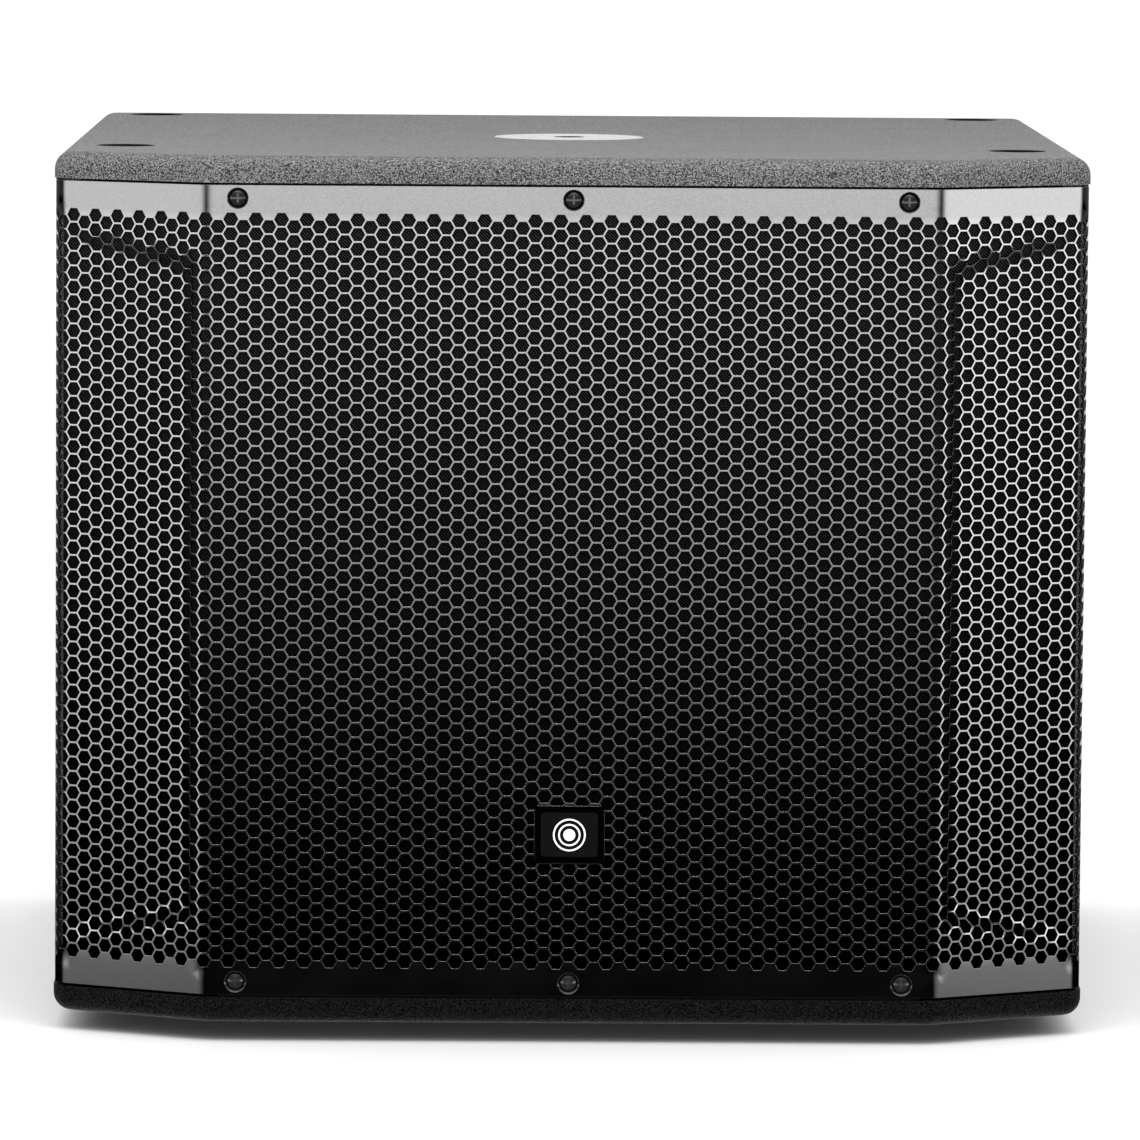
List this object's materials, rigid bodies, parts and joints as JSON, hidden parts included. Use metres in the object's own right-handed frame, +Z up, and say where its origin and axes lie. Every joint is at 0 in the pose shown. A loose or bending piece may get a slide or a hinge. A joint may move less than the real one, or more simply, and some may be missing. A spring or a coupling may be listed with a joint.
{
  "type": "subwoofer cabinet",
  "caption": "Powered subwoofer cabinet with a single large driver, side slot port, folded hexagon-perforated steel grille, pole socket, stacking cups and recessed side handles.",
  "frame": {"origin": "centre of the footprint on the floor, at the bottom of the feet", "axes": "+Z up, -Y out of the grille at the front, +X to the right seen from the front"},
  "size_m": [0.699, 0.742, 0.597],
  "materials": {
    "textured_panel_paint": "plywood under a black textured coating",
    "inner_plywood": "bare birch plywood",
    "grille_coating": "black powder-coated perforated steel",
    "dark_foam": "open-cell acoustic foam",
    "lining_felt": "polyester wadding",
    "black_screws": "black-oxide steel",
    "zinc_fasteners": "zinc-plated steel",
    "badge_plate": "dark plate with light rings",
    "foot_rubber": "moulded rubber",
    "black_plastic": "moulded black plastic",
    "polished_steel": "turned steel plate",
    "cast_black": "black-coated die casting",
    "cast_frame": "die-cast basket, black coating",
    "motor_steel": "blackened low-carbon steel",
    "ferrite": "sintered ferrite",
    "coil_copper": "enamelled wire",
    "former_film": "glass-fibre former",
    "paper_cone": "doped paper",
    "edge_cloth": "treated corrugated cloth",
    "spider_cloth": "resin-treated cloth",
    "amp_plate_paint": "black-painted plate",
    "amp_sheet": "plated sheet",
    "heat_sink_black": "black-anodised extrusion",
    "socket_metal": "plated connector shell",
    "display_glass": "dark display window",
    "status_lens": "clear coloured lens",
    "board_green": "circuit board",
    "transformer_wrap": "wrapped core",
    "lead_jacket": "insulated lead"
  },
  "bodies": {
    "cabinet": {"acoustic_lining": "lining_felt", "amp_board": "board_green", "amp_chassis": "amp_sheet", "amp_gasket": "dark_foam", "amp_plate": "amp_plate_paint", "amp_screws": "black_screws", "back_plate": "motor_steel", "badge": "badge_plate", "bottom_panel": "textured_panel_paint", "control_pots": "black_plastic", "cup_screws": "black_screws", "display_window": "display_glass", "driver_bolts": "black_screws", "driver_frame": "cast_frame", "driver_gasket": "dark_foam", "driver_terminals": "black_plastic", "feet": "foot_rubber", "foot_screws": "black_screws", "front_baffle": "inner_plywood", "front_grille": "grille_coating", "grille_foam": "dark_foam", "grille_rails": "inner_plywood", "grille_screws": "black_screws", "handle_screws": "black_screws", "heat_sink": "heat_sink_black", "input_sockets": "socket_metal", "left_handle": "cast_black", "left_side_panel": "textured_panel_paint", "magnet": "ferrite", "mains_inlet": "black_plastic", "pole_lock_nut": "polished_steel", "pole_plate": "polished_steel", "port_braces": "inner_plywood", "port_wall": "inner_plywood", "power_transformer": "transformer_wrap", "rear_panel": "textured_panel_paint", "right_handle": "cast_black", "right_side_panel": "textured_panel_paint", "rocker_housing": "black_plastic", "speaker_leads": "lead_jacket", "spider": "spider_cloth", "stacking_cups": "black_plastic", "status_lights": "status_lens", "surround": "edge_cloth", "t_nuts": "zinc_fasteners", "thru_sockets": "socket_metal", "top_panel": "textured_panel_paint", "top_plate": "motor_steel", "window_brace": "inner_plywood"},
    "cone_assembly": {"cone": "paper_cone", "dust_cap": "paper_cone", "voice_coil_former": "former_film", "voice_coil_winding": "coil_copper"},
    "gain_control_a": {"gain_knob_a": "black_plastic"},
    "gain_control_b": {"gain_knob_b": "black_plastic"},
    "menu_control": {"menu_knob": "black_plastic"},
    "back_key": {"back_button": "black_plastic"},
    "power_switch": {"power_rocker": "black_plastic"},
    "release_a": {"latch_tab_a": "socket_metal"},
    "release_b": {"latch_tab_b": "socket_metal"}
  },
  "joints": [
    {"name": "cone_stroke", "type": "slide", "parent": "cabinet", "child": "cone_assembly", "axis": [0, -1, 0], "range_m": [-0.009, 0.009], "stiffness_N_per_m": 7000, "deforming": ["surround", "spider"]},
    {"name": "gain_a_turn", "type": "hinge", "parent": "cabinet", "child": "gain_control_a", "pos_m": [-0.03, 0.36, 0.402], "axis": [0, 1, 0], "range_deg": [-150, 150]},
    {"name": "gain_b_turn", "type": "hinge", "parent": "cabinet", "child": "gain_control_b", "pos_m": [0.04, 0.36, 0.402], "axis": [0, 1, 0], "range_deg": [-150, 150]},
    {"name": "menu_turn", "type": "hinge", "parent": "cabinet", "child": "menu_control", "pos_m": [-0.092, 0.36, 0.402], "axis": [0, 1, 0], "continuous": true},
    {"name": "back_press", "type": "slide", "parent": "cabinet", "child": "back_key", "axis": [0, -1, 0], "range_m": [0, 0.0012], "stiffness_N_per_m": 400},
    {"name": "power_tilt", "type": "hinge", "parent": "cabinet", "child": "power_switch", "pos_m": [0.16, 0.352, 0.34], "axis": [1, 0, 0], "range_deg": [-14, 0]},
    {"name": "release_a_press", "type": "slide", "parent": "cabinet", "child": "release_a", "axis": [0, -1, 0], "range_m": [0, 0.002], "stiffness_N_per_m": 400},
    {"name": "release_b_press", "type": "slide", "parent": "cabinet", "child": "release_b", "axis": [0, -1, 0], "range_m": [0, 0.002], "stiffness_N_per_m": 400}
  ]
}
